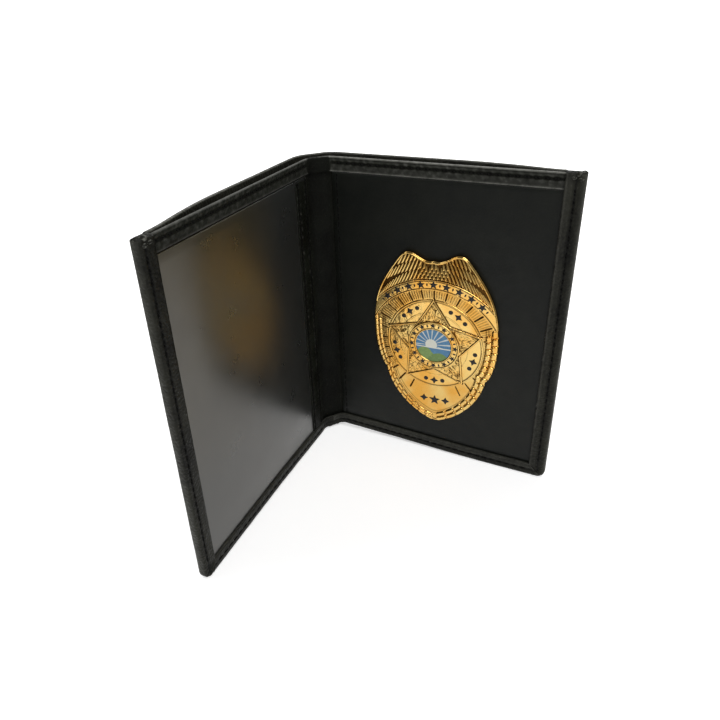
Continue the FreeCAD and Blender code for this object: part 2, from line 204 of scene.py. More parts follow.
def place(s, d, z):
    """The rest place, in metres, of a point of the flat layout."""
    run = abs(s)
    if run < 2 * half_spine:
        x, y, angle = (np.interp(run, BEND[0], row) for row in BEND[1:])
    else:
        x, y, angle = fold - half_spine + run, fold, 0
    x += d * sin(angle)
    y -= d * cos(angle)
    if s < 0:
        x, y = -y, -x
    z += np.interp(s, *zip(*FOOT_LIFT)) * max(0, 1 - z / foot_lift_height)
    return Vector((x, y, z)) * MM


# --- Meshes
class Shape:
    """A mesh in the making, its points given in the flat layout."""

    def __init__(self):
        self.flat = []
        self.shading_wear_cavity = []
        self.faces = []

    def point(self, s, d, z, shading_wear_cavity=0):
        self.flat.append((s, d, z))
        self.shading_wear_cavity.append(shading_wear_cavity)
        return len(self.flat) - 1

    def strip(self, row, after):
        """Quads between two rows of points."""
        for i in range(len(row) - 1):
            corners = [row[i], row[i + 1], after[i + 1], after[i]]
            kept = [c for k, c in enumerate(corners) if c != corners[k - 1]]
            if len(kept) > 2:
                self.faces.append(kept)

    def grid(self, rows):
        """Quads over a list of rows."""
        for row, after in zip(rows, rows[1:]):
            self.strip(row, after)

    def sheet(self, along, across, point, rings=False):
        """Quads over rows of points, or over closed rings of them; gives the rows."""
        rows = [[self.point(*point(a, b)) for b in across] for a in along]
        self.grid([row + row[:1] for row in rows] if rings else rows)
        return rows

    def build(self, name, material, where=place):
        """The object, faces turned outwards, with its layout kept for the material."""
        mesh = bpy.data.meshes.new(name)
        mesh.from_pydata([where(*p) for p in self.flat], [], self.faces)
        flat = mesh.attributes.new("flat", "FLOAT_VECTOR", "POINT")
        flat.data.foreach_set("vector", np.array(self.flat, np.float32).ravel())
        shading_wear_cavity = mesh.attributes.new("shading_wear_cavity", "FLOAT", "POINT")
        shading_wear_cavity.data.foreach_set("value", np.array(self.shading_wear_cavity, np.float32))
        work = bmesh.new()
        work.from_mesh(mesh)
        bmesh.ops.recalc_face_normals(work, faces=work.faces)
        work.to_mesh(mesh)
        work.free()
        mesh.shade_smooth()
        mesh.materials.append(material)
        made = bpy.data.objects.new(name, mesh)
        bpy.context.scene.collection.objects.link(made)
        return made

    def piece(self, name, slot, *nodes, where=place):
        """The finished piece in its slot's finish, standing for its CAD nodes."""
        made = self.build(name, FINISHES[slot], where)
        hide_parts(*nodes)
        return made


def bend_with(piece, side):
    """Bake a piece's transform into its mesh; side is not used."""
    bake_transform(piece)


# --- Materials
class Nodes:
    """Nodes in the making; a socket takes a value or another node's output."""

    def __init__(self, tree):
        self.tree = tree

    def give(self, socket, value):
        if isinstance(value, bpy.types.NodeSocket):
            self.tree.links.new(value, socket)
        else:
            socket.default_value = (*value, 1) if socket.type == "RGBA" else value

    def node(self, kind, sockets=(), out=0, **settings):
        made = self.tree.nodes.new("ShaderNode" + kind)
        for key, value in settings.items():
            setattr(made, key, value)
        for key, value in dict(sockets).items():
            self.give(made.inputs[key], value)
        return made.outputs[out]

    def maths(self, operation, *values):
        return self.node("Math", enumerate(values), operation=operation)

    def times(self, first, second):
        return self.maths("MULTIPLY", first, second)

    def plus(self, first, second):
        return self.maths("ADD", first, second)

    def minus(self, first, second):
        return self.maths("SUBTRACT", first, second)

    def ramp(self, value, low, high, out_low=0, out_high=1):
        """A value mapped from one range to another, and held inside it."""
        return self.node("MapRange", enumerate((value, low, high, out_low, out_high)))

    def mix(self, share, first, second):
        return self.node("Mix", {0: share, 6: first, 7: second}, out=2, data_type="RGBA")


class Finish(Nodes):
    """A node material in the making, over a piece's layout or over the frame."""

    def __init__(self, name, over_frame=False, **shader):
        self.material = bpy.data.materials.new(name)
        self.material.use_nodes = True
        super().__init__(self.material.node_tree)
        self.shader = self.tree.nodes["Principled BSDF"]
        self.where = self.node("NewGeometry") if over_frame else self.kept("flat", "Vector")
        self.set(**shader)

    def kept(self, name, out="Fac"):
        """What a piece's mesh keeps at each point."""
        return self.node("Attribute", out=out, attribute_name=name)

    def set(self, **sockets):
        for key, value in sockets.items():
            self.give(self.shader.inputs[key.replace("_", " ")], value)

    def done(self, colour, roughness, normal):
        self.set(Base_Color=colour, Roughness=roughness, Normal=normal)
        return self.material

    def axes(self):
        return list(self.node("SeparateXYZ", {0: self.where}).node.outputs)

    def noise(self, scale, detail=3, roughness=0.55):
        return self.node("TexNoise", {"Vector": self.where, "Scale": scale, "Detail": detail,
                                      "Roughness": roughness})

    def mottled(self, scale, first, second):
        """A colour that drifts between two."""
        return self.mix(self.noise(scale), first, second)

    def smeared(self, scale, least, most, detail=3):
        """A roughness that drifts between two."""
        return self.ramp(self.noise(scale, detail), 0.3, 0.7, least, most)

    def bump(self, height, depth_mm, strength=1, **under):
        return self.node("Bump", {"Height": height, "Distance": depth_mm * MM,
                                  "Strength": strength, **under})


def leather(name, dark, light, worn_and_lit, grain_size, grain_depth, rough, gloss):
    """Black leather: pebbled grain over slow creases, greyer where it is rubbed and where a
    highlight is painted, near black where shade is painted.
    """
    mat = Finish(name, Specular_IOR_Level=gloss)
    shading_wear_cavity = mat.kept("shading_wear_cavity")
    warped = mat.node("VectorMath", {0: mat.where, 1: mat.noise(0.9 / grain_size, 2)},
                      operation="ADD")
    cells = mat.node("TexVoronoi", {"Vector": warped, "Scale": 1 / grain_size, "Smoothness": 0.3},
                     feature="SMOOTH_F1")
    pebbles = mat.ramp(cells, 0.15, 0.7, 1, 0)
    creases = mat.noise(0.45, 4, 0.6)
    tone = mat.mix(mat.ramp(mat.noise(0.09, 2), 0.35, 0.65), dark, light)
    # Lighter pebble tops: grain tone that also stands in as a painted highlight on the grain.
    tone = mat.mix(mat.times(pebbles, 0.6), tone, light)
    # Above 0 the grey is mixed in: rubbed wear and painted highlights, broken up by the creases.
    patchy = mat.times(mat.ramp(shading_wear_cavity, 0, 1), mat.ramp(creases, 0.35, 0.6, 0.55, 1))
    tone = mat.mix(patchy, tone, worn_and_lit)
    # Below 0 the tone goes towards near black: painted shade.
    tone = mat.mix(mat.ramp(shading_wear_cavity, -1, 0, 0.8, 0), tone, (0.002, 0.002, 0.002))
    smear = mat.smeared(0.3, rough - 0.06, rough + 0.07)
    slow = mat.bump(creases, 0.15, 0.4)
    return mat.done(tone, mat.minus(smear, mat.times(shading_wear_cavity, 0.1)),
                    mat.bump(pebbles, grain_depth, Normal=slow))


def thread():
    """Black waxed thread, its two plies seen as a twist."""
    mat = Finish("black_thread", Specular_IOR_Level=0.04)
    twist = mat.node("TexWave", {"Vector": mat.where, "Scale": 0.55, "Distortion": 1.2,
                                 "Detail": 1}, bands_direction="DIAGONAL")
    return mat.done(mat.mix(twist, (0.002, 0.002, 0.002), (0.009, 0.009, 0.008)),
                    mat.smeared(2, 0.62, 0.78), mat.bump(twist, 0.08))


def vinyl():
    """Clear vinyl seen on the black leather behind it: slightly milky, slack and glossy, with a
    painted reflection of the gold badge as a warm tint towards the top and the fore edge.
    """
    mat = Finish("clear_vinyl", IOR=1.58, Specular_IOR_Level=0.85, Specular_Tint=(1, 0.98, 0.93))
    s, _, z = mat.axes()
    # A painted reflection of the gold badge: warmer towards the top and the fore edge.
    gold_reflection = mat.times(mat.ramp(z, 30, 95), mat.ramp(s, -half_spine - 25, -half_spine - 60))
    milk_and_reflection = mat.mix(gold_reflection, (0.017, 0.018, 0.017), (0.034, 0.026, 0.010))
    cloud = mat.ramp(mat.noise(0.05), 0.35, 0.65, 0, 0.35)
    middle = -(half_spine + binding_end + inner[LEFT]) / 2
    off = mat.maths("DIVIDE", mat.minus(s, middle), 37)
    bulge = mat.minus(1, mat.times(off, off))
    return mat.done(mat.mix(cloud, milk_and_reflection, (0.012, 0.011, 0.009)), mat.smeared(0.12, 0.27, 0.33),
                    mat.bump(bulge, 1.8))


def gold():
    """Polished gold, its recesses darkened by amber patina."""
    mat = Finish("gold_metal", Metallic=1)
    cavity = mat.kept("shading_wear_cavity")
    cloud = mat.ramp(mat.noise(0.09), 0.38, 0.62)
    polish = mat.mix(cloud, (0.82, 0.42, 0.08), (0.86, 0.59, 0.20))
    patina = mat.mottled(1.2, (0.035, 0.015, 0.004), (0.13, 0.06, 0.012))
    smear = mat.smeared(0.7, 0.09, 0.19, 4)
    hammered = mat.bump(mat.noise(0.4), 0.34, 0.5)
    return mat.done(mat.mix(mat.ramp(cavity, 0.06, 0.6), polish, patina),
                    mat.plus(smear, mat.times(cavity, 0.2)),
                    mat.bump(mat.noise(6, 2), 0.006, 0.5, Normal=hammered))


def black_enamel():
    """Glossy black enamel with a few fine pits."""
    mat = Finish("black_enamel", Specular_IOR_Level=0.3, Coat_Weight=0.08, Coat_Roughness=0.1)
    return mat.done(mat.mottled(1.5, (0.004, 0.004, 0.004), (0.016, 0.014, 0.012)),
                    mat.smeared(3, 0.18, 0.34), mat.bump(mat.noise(4), 0.01, 0.5))


def seal_enamel():
    """Coloured enamel: green hills before blue water, a white sun with its rays."""
    mat = Finish("seal_colours", Specular_IOR_Level=0.4, Coat_Weight=0.3, Coat_Roughness=0.08)
    x, y, _ = mat.axes()
    wobble = mat.times(mat.noise(0.9, 2), 0.9)

    def below(level):
        return mat.ramp(mat.minus(level, y), -0.06, 0.06)

    def hill(centre, crest, width):
        off = mat.maths("DIVIDE", mat.minus(x, centre), width)
        return mat.plus(mat.minus(crest, mat.times(off, off)), wobble)

    aside, rise = mat.plus(x, 0.8), mat.minus(y, 0.4)
    bearing = mat.maths("ARCTAN2", rise, aside)
    rays = mat.ramp(mat.maths("SINE", mat.times(bearing, 18)), 0.55, 0.75)
    out = mat.maths("SQRT", mat.plus(mat.times(rise, rise), mat.times(aside, aside)))
    white = (0.78, 0.78, 0.68)
    blue = mat.mottled(0.5, (0.045, 0.16, 0.34), (0.10, 0.28, 0.46))
    green = mat.mottled(1.1, (0.13, 0.26, 0.06), (0.28, 0.40, 0.12))
    sky = mat.mix(mat.times(rays, 0.75), blue, white)
    sky = mat.mix(mat.ramp(out, 2.2, 2.35, 1, 0), sky, white)
    shore = mat.mix(below(-0.6), sky, mat.mix(below(-1.05), white, blue))
    far = mat.mix(below(hill(-3.4, -1.4, 2.2)), shore, green)
    near = mat.mix(0.5, green, (0.10, 0.2, 0.05))
    return mat.done(mat.mix(below(hill(2.2, -3.4, 2.6)), far, near), mat.smeared(1.3, 0.18, 0.3),
                    mat.bump(mat.noise(0.8, 2), 0.04, 0.4))


def plain(name, tones, grain, rough, bump, **shader):
    """Board or metal under fine fibres or scratches."""
    mat = Finish(name, over_frame=True, **shader)
    marks = mat.noise(*grain, 0.5)
    return mat.done(mat.mix(marks, *tones), mat.ramp(marks, 0.3, 0.7, *rough),
                    mat.bump(marks, *bump))


def dress_node(name, material):
    """Give a CAD node that stays visible its material."""
    mesh = frame["nodes"][name].data
    if not mesh.materials:
        mesh.materials.append(material)
    for index in range(len(mesh.materials)):
        mesh.materials[index] = material


# The third colour of each leather is the grey of rubbed wear and of painted highlights.
FINISHES = {
    "cover_leather": leather("cover_leather", (0.004, 0.004, 0.003), (0.017, 0.017, 0.012),
                             (0.15, 0.15, 0.13), 1, 0.18, 0.5, 0.13),
    "lining_leather": leather("lining_leather", (0.003, 0.003, 0.002), (0.009, 0.010, 0.007),
                              (0.20, 0.20, 0.18), 0.8, 0.09, 0.5, 0.06),
    "badge_panel_leather": leather("badge_panel_leather", (0.004, 0.005, 0.004),
                                   (0.007, 0.008, 0.006), (0.08, 0.08, 0.075), 0.5, 0.012, 0.42,
                                   0.2),
    "thread": thread(),
    "clear_vinyl": vinyl(),
    "gold_metal": gold(),
    "black_enamel": black_enamel(),
    "seal_colours": seal_enamel(),
}


# --- The outer leather
def bow(s, z):
    """How far the outer leather stands off behind the bill pocket."""
    along = smooth((reach - 7.5 - abs(s)) / 30)
    spine = 1 - 0.25 * bell(s / 5)
    return bow_depth * along * spine * smooth((z - height + bow_fade_height) / bow_fade_height)


def back_depth(s, z):
    """Depth of the outer leather's back."""
    taper_start = inner[RIGHT if s > 0 else LEFT] - taper_length
    drawn_in = pocket_gap * smooth((abs(s) - taper_start) / taper_length)
    return cover_back + drawn_in - bow(s, z) + 0.1 * uneven(s, z, 14, 3)


def rulings(side):
    """Pairs of an edge point and a hem point, from the top down the fore edge to the spine."""
    corner = (inner[side], foot_hem)
    radius = foot_corner_radius
    pairs = [((reach, z), (inner[side], z))
             for z in spread(height - cover_thickness / 2, foot_hem, sample)]
    pairs += [((reach, z), corner) for z in spread(foot_hem, radius, 0.6)[1:]]
    for angle in spread(0, pi / 2, pi / 24)[1:]:
        edge = (reach - radius * (1 - cos(angle)), radius * (1 - sin(angle)))
        pairs.append((edge, corner))
    pairs += [((s, 0), corner) for s in spread(reach - radius, inner[side], 0.6)[1:]]
    pairs += [((s, 0), (s, foot_hem)) for s in spread(inner[side], 0, sample)[1:]]
    return pairs


def rim_section(length, seam):
    """(inset, share of the depth, rounding) from the back hem line round to the front one."""
    insets = [length, length - 0.5, (length + seam + 1.1) / 2]
    insets += [seam + off for off in (1.1, 0.6, 0.3, 0, -0.3, -0.6)]
    section = [(inset, 0, 0) for inset in insets]
    section += [(edge_rounding * (1 - sin(a)), 0, edge_rounding * (1 - cos(a)))
                for a in spread(0, pi / 2, pi / 8)]
    mirrored = [(inset, 1, -rounding) for inset, _, rounding in section]
    return section + [(-0.06, 0.5, 0)] + mirrored[::-1]


def cover_row(shape, side, edge, hem, travelled):
    """The rim's points, and those of the hem's rolled end, along one ruling."""
    length = dist(edge, hem)
    at_foot = smooth((inner[side] - edge[0]) / 4 + 1)
    seam = seam_inset[side] + (foot_seam_inset - seam_inset[side]) * at_foot
    fan = 1 if edge[1] < foot_hem and edge[0] > inner[side] else 0
    diagonal = reach - edge[0] - edge[1]
    ragged = bell(edge[0] / 6) if edge[1] == 0 else 0
    section = rim_section(length, seam)

    def at(inset):
        return [a + (b - a) / length * inset for a, b in zip(edge, hem)]

    row = []
    for k, (inset, share, rounding) in enumerate(section):
        s, z = at(inset)
        groove = bell((inset - seam) / 0.42)
        fold_line = at_foot * (1 - fan) * bell((inset - 1.3) / 0.3)
        mitre = fan * bell(diagonal / 0.9) * smooth(inset / 1.5)
        pleat = fan * 0.16 * sin(travelled * 3.1) * bell((inset - 2.2) / 2.4)
        lumps = 0.07 * uneven(s + 40 * k // len(section), z + 9 * share, 2.6, 5)
        lumps += 0.45 * ragged * uneven(side * s, 4 * share, 1.4, 8)
        press = 0.22 * bell(inset / 1.6) + groove * (0.2 + 0.08 * pucker(travelled))
        press += 0.12 * fold_line + 0.22 * mitre
        back = back_depth(side * s, z)
        front = hem_front - press + pleat + lumps
        depth = back + (front - back) * share + rounding
        if share == 0:
            depth += 0.1 * groove * (1 - fan)
        # Painted light and shade on the hem's front: painted shade in the seam groove, the fold
        # line and the mitre; a painted highlight beside the mitre's diagonal and at the hem's
        # inner end; a lighter band along the foot hem; the right hem painted a little lighter and
        # the left one darker, as lit and shaded sides.
        hem_shading = 0.3 * bell((inset - 0.6 * length) / 0.5) * at_foot - groove
        hem_shading += 0.45 * bell((diagonal - 1.3) / 0.6) * fan - 0.6 * fold_line - 0.8 * mitre
        hem_shading += 0.2 * bell((inset - length + 0.3) / 0.4) + (0.07 if side == RIGHT else -0.2)
        z += ragged * 0.5 * uneven(side * s, 7, 1.3, 2) * bell(inset / 1.5)
        # The outer edge is rubbed grey and carries a painted edge highlight.
        row.append(shape.point(side * s, depth, z, 0.3 * bell(inset / 0.5) + share * hem_shading))
    # The hem's rolled end carries a painted highlight.
    for a in spread(0, pi / 2, pi / 6)[1:]:
        s, z = at(length - 0.3 * (1 - sin(a)))
        row.append(shape.point(side * s, hem_front - 0.3 * (1 - cos(a)), z, 0.2))
    return row + [shape.point(side * hem[0], seat[side] - 0.05, hem[1])]


def cover_piece(side):
    """Half of the outer leather: its back, its turned-in edges and the pocket's inside."""
    shape = Shape()
    pairs = rulings(side)
    rows = []
    travelled, before = 0, pairs[0][0]
    for edge, hem in pairs:
        travelled += dist(edge, before)
        before = edge
        rows.append(cover_row(shape, side, edge, hem, travelled))
    shape.grid(rows)
    close_top_corner(shape, side, rows[0][:-4])
    fill_back(shape, side, pairs, [row[0] for row in rows])
    name = SIDE_NAME[side]
    piece = shape.piece("outer_leather_" + name, "cover_leather", name + "_cover", "spine_cover")
    bend_with(piece, side)


def close_top_corner(shape, side, rim):
    """The hem's top end, folded shut and gathered into a few small lumps."""
    arches = []
    for first, last in list(zip(rim, rim[::-1]))[:len(rim) // 2 + 1]:
        start, end = Vector(shape.flat[first]), Vector(shape.flat[last])
        stand = 0.6 * min(1, 0.2 + 0.4 * abs(start.y - end.y))
        arch = [first]
        for t in spread(0, 1, 0.125)[1:-1]:
            rise = Vector((0, 0, stand * sin(pi * t) ** 0.6))
            # The folded cap is made darker.
            arch.append(shape.point(*(start.lerp(end, t) + rise), -0.3))
        arches.append(arch + [last])
    shape.grid(arches)
    shape.strip(arches[0], [shape.point(*shape.flat[i][:2], height - 2.5) for i in arches[0]])
    back = shape.flat[rim[0]][1]
    for inset, share, below, radius in CORNER_LUMPS:
        lump(shape, side * (reach - inset), back + (hem_front - back) * share, height - below,
             radius)


def lump(shape, s, d, z, radius):
    """A small crumpled lump of leather."""
    def point(up, a):
        axis = Vector((cos(up) * cos(a), cos(up) * sin(a), sin(up)))
        crumple = noise.noise(axis * 1.7 + Vector((s, d, z)))
        out = radius * (1 + 0.25 * crumple)
        # Lighter where the lump bulges out, darker where it is pressed in.
        return (s + axis.x * out, d + axis.y * out * 0.75, z + axis.z * out * 0.8,
                0.1 + 1.5 * crumple)

    shape.sheet(spread(-pi / 2, pi / 2, pi / 9), turn_steps(12), point, rings=True)


def every(items, count):
    """Every so-many-th item, and the last one."""
    return items[:-1:count] + items[-1:]


def fill_back(shape, side, pairs, rim):
    """The cover's plain back, welded to its rim, and the pocket's inner face."""
    down = every([k for k, (edge, _) in enumerate(pairs)
                  if edge[0] == reach and edge[1] >= foot_hem], 4)
    along = every([k for k, (edge, _) in enumerate(pairs)
                   if edge[1] == 0 and edge[0] <= inner[side]], 2)
    table = {}
    for m in down:
        z = pairs[m][1][1]
        for k in along:
            s = side * pairs[k][1][0]
            if k == along[0]:
                table[m, k] = rim[m]
            elif m == down[-1]:
                table[m, k] = rim[k]
            else:
                table[m, k] = shape.point(s, back_depth(s, z), z)
    for m, n in zip(down, down[1:]):
        for j, k in zip(along, along[1:]):
            loop = [table[m, j]] + (rim[m + 1:n] if j == along[0] else []) + [table[n, j]]
            loop += rim[j + 1:k] if n == down[-1] else []
            shape.faces.append(loop + [table[n, k], table[m, k]])
    half = cover_thickness / 2
    top_row = [table[down[0], k] for k in along]
    inside = [top_row]
    for a in spread(0, pi, pi / 6)[1:]:
        ends = [shape.flat[i] for i in top_row]
        # The top fold carries a painted highlight.
        inside.append([shape.point(s, d + half * (1 - cos(a)), height - half * (1 - sin(a)),
                                   0.9 * sin(a)) for s, d, _ in ends])
    for m in down[1:]:
        z = pairs[m][1][1]
        places = [side * pairs[k][1][0] for k in along]
        inside.append([shape.point(s, back_depth(s, z) + cover_thickness, z) for s in places])
    shape.grid(inside)


# --- The inner leather
def lining_section():
    """(depth, height, painted light and wear) up the back, over the folded top, down the hem and
    the front; the folded top and the hem's lower edge carry a painted highlight.
    """
    radius = (top_hem_front - lining_back) / 2
    middle = (top_hem_front + lining_back) / 2
    crest = lining_top - radius
    section = [(lining_back, z, 0) for z in spread(tuck_foot, crest, 6)]
    for turn in (20, 40, 60, 90, 120, 140, 160, 180):
        a = radians(turn)
        # A painted highlight over the folded top.
        section.append((middle - radius * cos(a), crest + radius * sin(a), max(0, sin(a))))
    section += [(top_hem_front, z, 0.1) for z in spread(crest, top_hem_foot + 0.6, 0.4)[1:]]
    section += [(top_hem_front, top_hem_foot + rise, 0.1) for rise in (0.45, 0.3, 0.15)]
    # A painted highlight along the hem's lower edge.
    section.append((top_hem_front - 0.07, top_hem_foot + 0.06, 0.3))
    section.append((top_hem_front - 0.25, top_hem_foot, 0))
    return section + [(lining_front, z, 0) for z in spread(top_hem_foot, tuck_foot, 3)]


def lining_piece(side):
    """Half of the lining, from the gutter's middle to under the fore hem."""
    # The painted highlights are weaker on the left panel than on the right.
    tone = 1 if side == RIGHT else 0.4

    def point(s, at):
        depth, z, shading_wear_cavity = at
        sewn = smooth((s - 6) / 2)
        in_gutter = 1 - smooth((s - half_spine + 1) / 3)
        front = smooth((depth - lining_back) / (lining_front - lining_back))
        above = z - height + top_seam_inset
        seam = bell(above / 0.42) * front * sewn
        # Painted glints between the stitches.
        stitch_glints = bell(above / 1.3) * front * sewn * max(0, pucker(s + 0.5 * abs(above)))
        # A painted highlight: the light line along the lining's front under the hem.
        rim = bell((z - top_hem_foot - 0.3) / 0.25) * smooth((depth - lining_front) / 0.3)
        # Painted glints in the grain.
        speck_glint = max(0, uneven(side * s, z, 1.1, 9)) * smooth((z - top_hem_foot) / 0.4)
        depth += 0.15 * bell((s - half_spine - 0.5) / 2) * front
        depth += 0.06 * uneven(side * s, z, 14, 2) - seam * (0.13 + 0.07 * pucker(s))
        # The seam line gets painted shade.
        shading_wear_cavity = shading_wear_cavity * tone + 0.22 * speck_glint * front + 0.16 * stitch_glints - 0.5 * seam
        # The line under the hem gets a painted highlight, the gutter painted shade.
        shading_wear_cavity += 0.6 * rim * tone * (1 - in_gutter) - 0.6 * in_gutter * front
        return side * s, depth, z, shading_wear_cavity

    shape = Shape()
    shape.sheet(spread(0, reach - under_hem, sample), lining_section(), point)
    name = SIDE_NAME[side]
    piece = shape.piece("inner_leather_" + name, "lining_leather", name + "_lining",
                        name + "_lining_top_hem", "gutter_lining", "gutter_top_hem")
    bend_with(piece, side)


def edge_highlight(s, z, edge):
    """A painted highlight along a layer's edge alone."""
    return 0.3 * edge


def layer_piece(name, slot, node, side, s_ends, z_ends, back, front, rounding, step, dent,
                painted_shading=edge_highlight):
    """A closed flat layer of one panel; dent adds to its depth, and the last function gives its
    painted highlight and shade.
    """
    shape = Shape()

    def stops(start, end):
        return ([start, start + rounding * 0.3] + spread(start + rounding, end - rounding, step)
                + [end - rounding * 0.3, end])

    def drop(value, start, end):
        gap = min(rounding, value - start, end - value)
        return rounding - sqrt(rounding ** 2 - (rounding - gap) ** 2)

    def front_point(z, s):
        fall = min(rounding, drop(s, *s_ends) + drop(z, *z_ends))
        return side * s, front - fall + dent(s, z), z, painted_shading(s, z, smooth(fall / rounding))

    s_stops, z_stops = stops(*s_ends), stops(*z_ends)
    face = shape.sheet(z_stops, s_stops, front_point)
    under = shape.sheet(z_stops, s_stops, lambda z, s: (side * s, back, z))
    for end in (0, -1):
        shape.strip(face[end], under[end])
        shape.strip([row[end] for row in face], [row[end] for row in under])
    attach(shape.piece(name, slot, node), SIDE_NAME[side] + "_panel")


def badge_panel_piece():
    """The smooth leather that carries the badge."""
    def dent(s, z):
        groove = bell((s - half_spine - gutter_seam) / 0.7) * (0.12 + 0.05 * pucker(z))
        swell = 0.28 * bell(hypot(s - half_spine - 42, (z - 98) * 0.8) / 7)
        tuck = 0.22 * max(smooth((s - inner[RIGHT] + 2.2) / 2), smooth((foot_hem + 2.2 - z) / 2))
        return swell - groove - tuck + 0.06 * uneven(s, z, 22, 11)

    layer_piece("badge_panel_leather", "badge_panel_leather", "badge_leather", RIGHT,
                (half_spine + badge_leather_start, reach - under_hem),
                (tuck_foot, top_hem_foot - 0.04), badge_leather_back, badge_seat, 0.25, 1.5, dent)


def window_piece():
    """The clear sheet over the card slot, slightly slack between its seams."""
    def dent(s, z):
        across = smooth((s - half_spine - binding_end) / 14) * smooth((reach - 6 - s) / 14)
        upright = smooth((z - foot_hem) / 16) * smooth((height + 12 - z) / 30)
        return (0.28 * upright + 0.07 * uneven(s, z, 30, 4)) * across

    layer_piece("id_window_sheet", "clear_vinyl", "id_window", LEFT,
                (half_spine + binding_start, reach - under_hem), (tuck_foot, window_top),
                window_back - 0.15, window_front, 0.1, 3, dent)


def binding_piece():
    """The leather strip along the window's spine side, drawn down by its two seams."""
    ends = (half_spine + binding_start, half_spine + binding_end)
    seams = (ends[0] + binding_seam_inset, ends[1] - binding_seam_inset)

    def nearest(off_seam, width, s):
        return max(bell((off_seam(s - seam)) / width) for seam in seams)

    def dent(s, z):
        groove = nearest(abs, 0.65, s) * (0.18 + 0.08 * pucker(z))
        sunk = 0.7 * smooth((z - top_hem_foot + 3) / 3)
        return 0.09 * uneven(s, z, 5, 6) - groove - sunk

    def painted_shading(s, z, edge):
        beside = nearest(lambda off: abs(off) - 0.8, 0.4, s)
        speck_glint = max(0, uneven(s, z, 1.3, 3) + 0.3 * pucker(z))
        # Painted glints on the lumps beside each seam, painted shade along the strip's edges and
        # in its seam grooves.
        return 0.4 * beside * speck_glint - 0.4 * edge - 0.7 * nearest(abs, 0.5, s)

    layer_piece("window_binding_strip", "lining_leather", "window_binding", LEFT, ends,
                (foot_hem + 0.1, top_hem_foot - 0.05), window_front - 0.4, binding_front - 0.1,
                0.5, sample / 2, dent, painted_shading)


# --- Seams
def stitch(shape, centre, along, depth, out):
    """One stitch: a short thread that rises from its hole, lies down and goes in again."""
    def point(t, a):
        run = stitch_length / 2 * t
        lift = 0.13 * (1 - t ** 4) - (0.35 if abs(t) > 1.05 else 0)
        radius = thread_radius * (1 - 0.25 * abs(t) ** 3)
        return (centre[0] + along[0] * run + along[1] * radius * cos(a),
                depth + out * (lift + 0.7 * radius * sin(a)),
                centre[1] + along[1] * run - along[0] * radius * cos(a))

    shape.sheet((-1.12, -1, -0.8, -0.4, 0, 0.4, 0.8, 1, 1.12), turn_steps(8), point, rings=True)


def centres(start, end):
    """Stitch centres between a row's two ends."""
    count = round((end - start - stitch_length) / stitch_pitch)
    return [start + stitch_length / 2 + stitch_pitch * i for i in range(count + 1)]


def on_back(s, z):
    """Depth of a stitch on the cover's back."""
    return back_depth(s, z) + 0.1


def on_flat_back(s, z):
    """The same, and None where the back draws in to the fore hem."""
    return on_back(s, z) if abs(s) < inner[RIGHT if s > 0 else LEFT] - taper_length else None


def seam_piece(name, node, side, *rows):
    """A CAD seam's stitches, in rows of (s, z, depth, out): s or z is None along the row."""
    shape = Shape()
    node += "_stitches"
    lowest, highest = low(node), high(node)
    for s, z, depth, out in rows:
        if s is None:
            ends = (lowest.x, highest.x) if side == RIGHT else (-highest.y, -lowest.y)
            places = [(side * t, z) for t in centres(*(end - fold + half_spine for end in ends))]
        else:
            places = [(side * s, t) for t in centres(lowest.z, highest.z)]
        for centre in places:
            level = depth(*centre) if callable(depth) else depth
            if level is not None:
                stitch(shape, centre, (1, 0) if s is None else (0, 1), level, out)
    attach(shape.piece(name + "_thread", "thread", node), SIDE_NAME[side] + "_panel")


def seams():
    """Each panel's fore edge, foot and lining top, then the badge panel's and the binding's."""
    for side, name in SIDE_NAME.items():
        s, foot = reach - seam_inset[side], foot_seam_inset
        seam_piece(name + "_fore", name + "_fore", side, (s, None, hem_front - 0.2, 1),
                   (s, None, on_back, -1))
        seam_piece(name + "_foot", name + "_foot", side, (None, foot, hem_front - 0.13, 1),
                   (None, foot, on_flat_back, -1))
        seam_piece(name + "_top", name + "_top", side,
                   (None, height - top_seam_inset, top_hem_front - 0.1, 1))
    seam_piece("badge_panel", "badge_leather", RIGHT,
               (half_spine + gutter_seam, None, badge_seat - 0.1, 1))
    seam_piece("binding", "binding", LEFT,
               *((half_spine + u, None, binding_front - 0.2, 1)
                 for u in (binding_start + binding_seam_inset, binding_end - binding_seam_inset)))


# --- The badge
badge_x = (low("seal_enamel").x + high("seal_enamel").x) / 2
badge_z = (low("seal_enamel").z + high("seal_enamel").z) / 2
badge_turn = radians(2)
plate_top, banner_top, disc_top, star_top, ring_top, enamel_top = (
    front_of(node) - badge_seat for node in
    ("badge_plate", "badge_banner", "badge_disc", "badge_star", "seal_ring", "seal_enamel"))
disc_radius, ring_radius, enamel_radius = (
    high(node).x - badge_x for node in ("badge_disc", "seal_ring", "seal_enamel"))

banner_centre_y = -3.2
banner_inner, banner_outer = 26, 30
banner_middle = (banner_inner + banner_outer) / 2
banner_foot = 10.7
star_radius, star_waist = 19.4, 11
field_mark_radius = 15.9
ring_mark_radius = 8.5


def turned(x, y, angle):
    """A point turned about the origin."""
    return (x * cos(angle) - y * sin(angle), x * sin(angle) + y * cos(angle))


def polar(angle, radius):
    """A point at an angle from the right, anticlockwise."""
    return radius * cos(angle), radius * sin(angle)


def clock(bearing, radius, centre_y=0):
    """A point at a bearing from the top, clockwise."""
    return radius * sin(bearing), centre_y + radius * cos(bearing)


def on_badge(x, y, h):
    """The rest place, in metres, of a point given about the seal."""
    across, up = turned(x, y, badge_turn)
    return Vector((badge_x + across, fold - badge_seat - h, badge_z + up)) * MM


